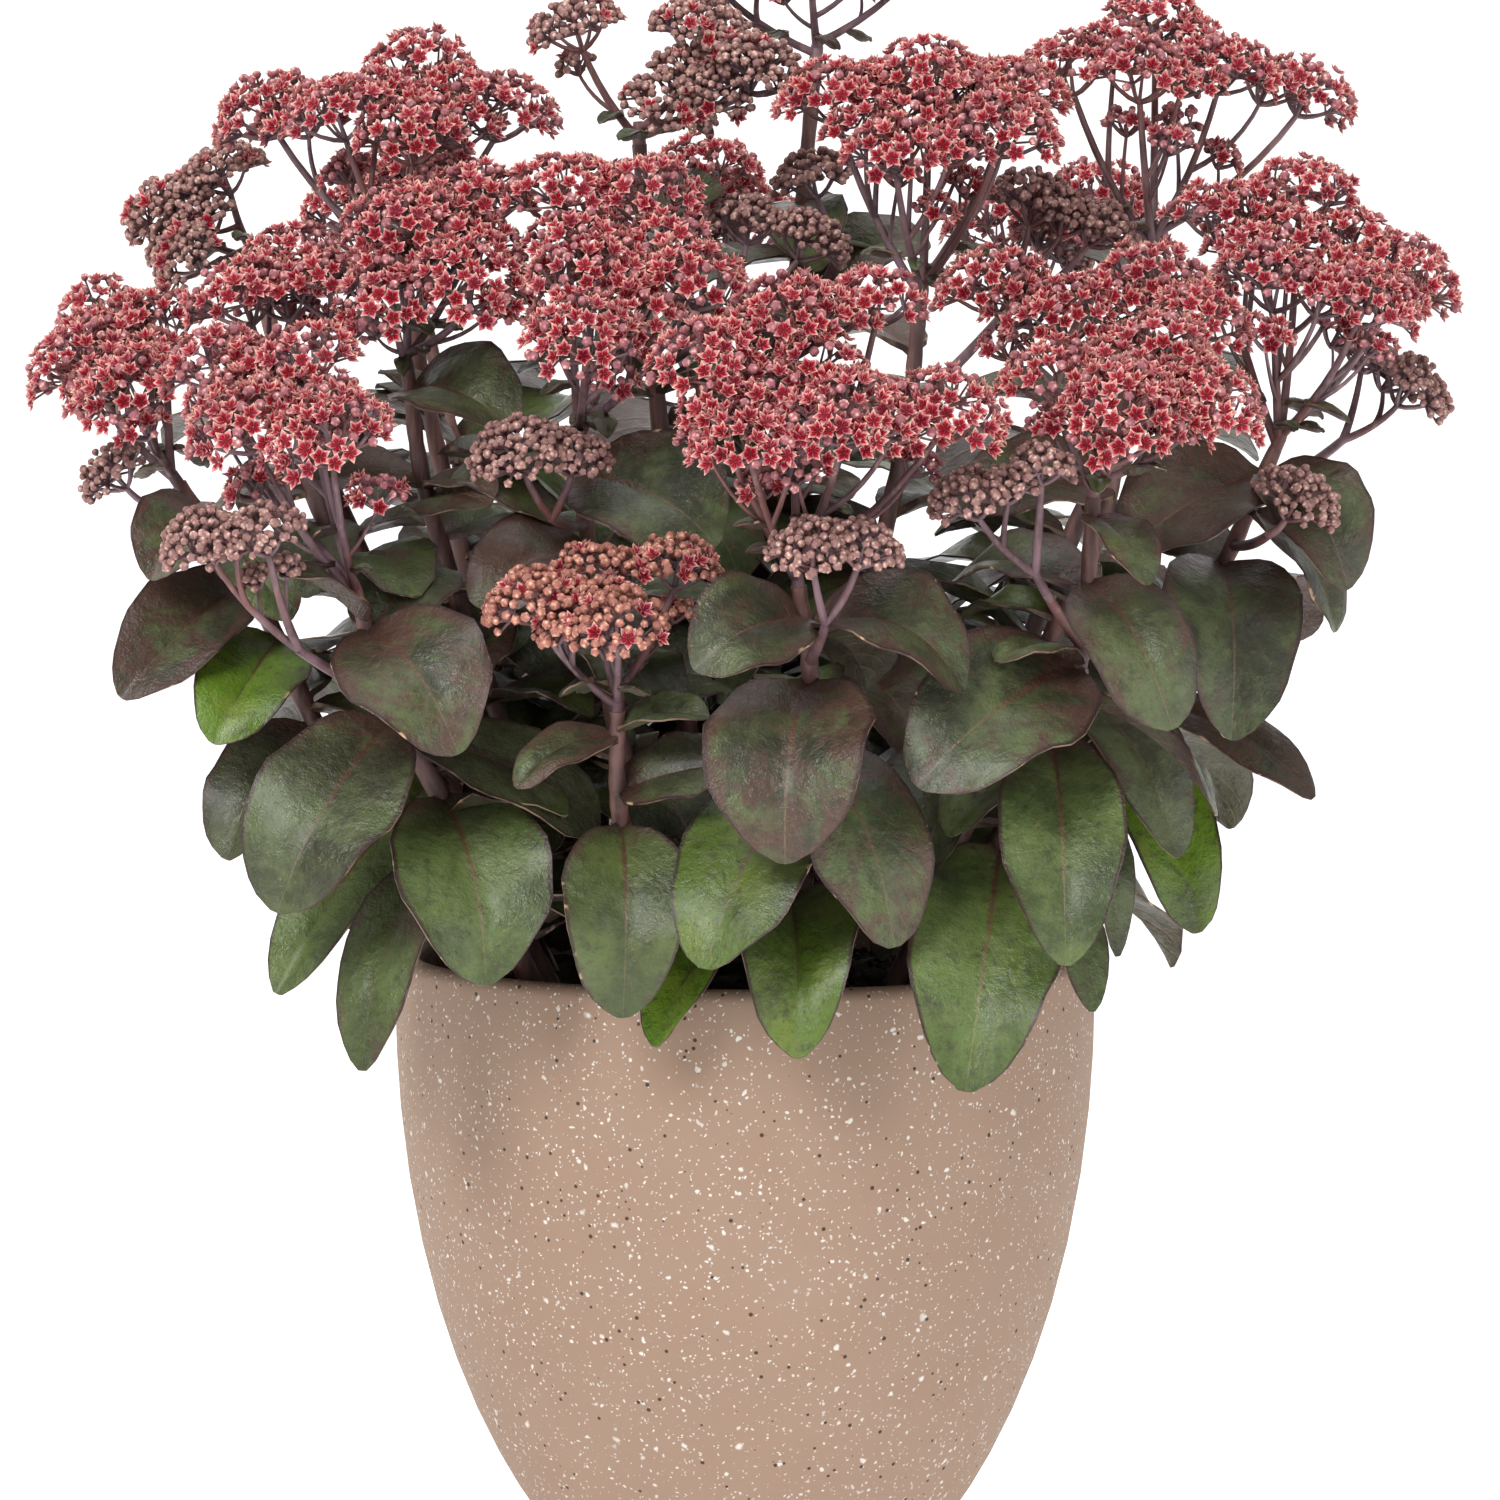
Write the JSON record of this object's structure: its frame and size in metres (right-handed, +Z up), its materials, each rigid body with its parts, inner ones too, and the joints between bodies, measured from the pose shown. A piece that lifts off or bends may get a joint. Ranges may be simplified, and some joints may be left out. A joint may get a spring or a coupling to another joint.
{
  "type": "potted dark-leaved stonecrop plant",
  "caption": "Leafy stonecrop with fleshy dark leaves and domed star-flower heads, growing in a rounded stone-look pot that stands on its flat foot.",
  "frame": {"origin": "centre of the pot's flat foot", "axes": "+Z up the plant, -Y towards the viewer of the picture, +X to the viewer's right"},
  "size_m": [0.5023, 0.4093, 0.5924],
  "materials": {
    "pot": "matte cast, warm beige with white specks and small dark pits",
    "soil": "dark crumbly compost",
    "leaf": "waxy grey-green leaves flushed purple-brown, on brown-purple stems",
    "flower": "dusty pink petals with cream tips and crimson middles",
    "bud": "matte grey-brown to salmon closed buds on purple-grey branches"
  },
  "bodies": {
    "root": {"pot": "pot", "soil": "soil", "front_left_stem": "leaf", "left_stem": "leaf", "left_inner_stem": "leaf", "far_left_stem": "leaf", "upper_left_stem": "leaf", "middle_left_stem": "leaf", "centre_left_stem": "leaf", "low_front_stem": "leaf", "centre_front_stem": "leaf", "right_front_stem": "leaf", "middle_right_stem": "leaf", "right_stem": "leaf", "upper_middle_stem": "leaf", "upper_right_stem": "leaf", "top_left_stem": "leaf", "top_back_stem": "leaf", "back_left_stem": "leaf", "back_stem": "leaf", "back_right_stem": "leaf", "front_left_head": "flower", "left_head": "flower", "left_inner_head": "flower", "far_left_head": "bud", "upper_left_head": "flower", "middle_left_head": "flower", "centre_left_head": "flower", "low_front_head": "bud", "centre_front_head": "flower", "right_front_head": "flower", "middle_right_head": "flower", "right_head": "flower", "upper_middle_head": "flower", "upper_right_head": "flower", "top_left_head": "bud", "top_back_head": "flower", "back_left_head": "flower", "back_head": "flower", "back_right_head": "flower", "front_left_shoot": "bud", "left_shoot": "bud", "centre_left_shoot": "bud", "centre_front_shoot": "bud", "right_front_shoot": "bud", "right_shoot": "bud", "far_right_shoot": "bud", "upper_middle_shoot": "bud", "top_left_shoot": "bud", "top_back_shoot": "bud"}
  },
  "joints": []
}
